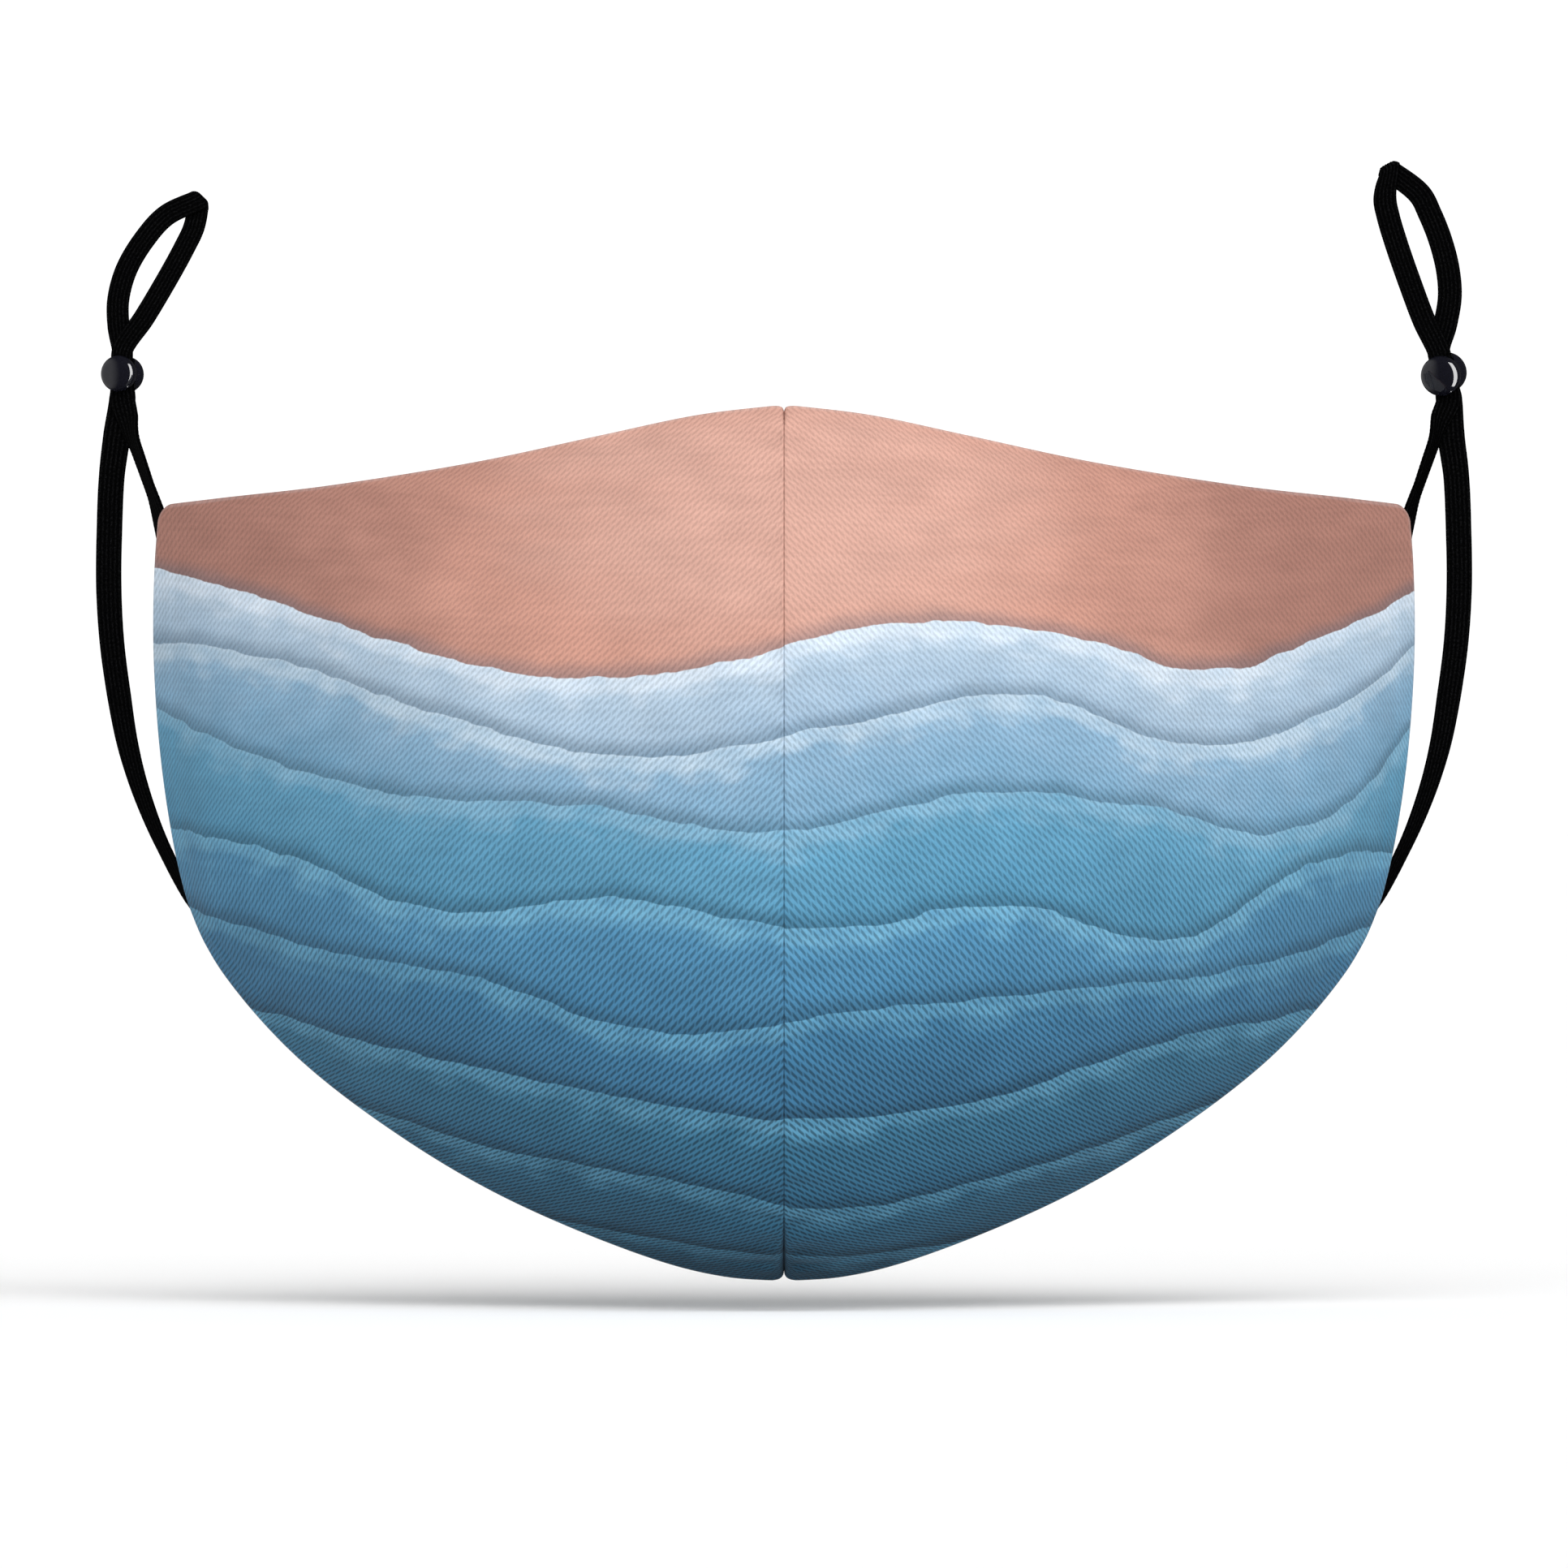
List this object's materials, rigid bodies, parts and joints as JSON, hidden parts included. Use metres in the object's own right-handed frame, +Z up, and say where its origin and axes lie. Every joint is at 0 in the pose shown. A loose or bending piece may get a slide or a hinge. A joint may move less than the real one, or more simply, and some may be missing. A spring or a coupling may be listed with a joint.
{
  "type": "cloth face mask",
  "caption": "Contoured cloth face mask: two panels sewn along a curved centre seam, with flat elastic ear cords, each run through a round slider bead.",
  "frame": {"origin": "midway between the two side edges, which lie on the wearer's cheeks in the plane y = 0: the panels' lower corners are 12.5 mm below it and their upper corners 55 mm above it", "axes": "+X to the right as seen from the front, the front of the mask faces -Y, +Z up"},
  "size_m": [0.2268, 0.1012, 0.1838],
  "materials": {
    "print_cloth": null,
    "elastic": "black knitted flat elastic, matte",
    "bead_plastic": "near-black glossy plastic"
  },
  "bodies": {
    "root": {"panel_left": "print_cloth", "panel_right": "print_cloth", "ear_cord_left": "elastic", "ear_cord_right": "elastic", "bead_left": "bead_plastic", "bead_right": "bead_plastic"}
  },
  "joints": []
}
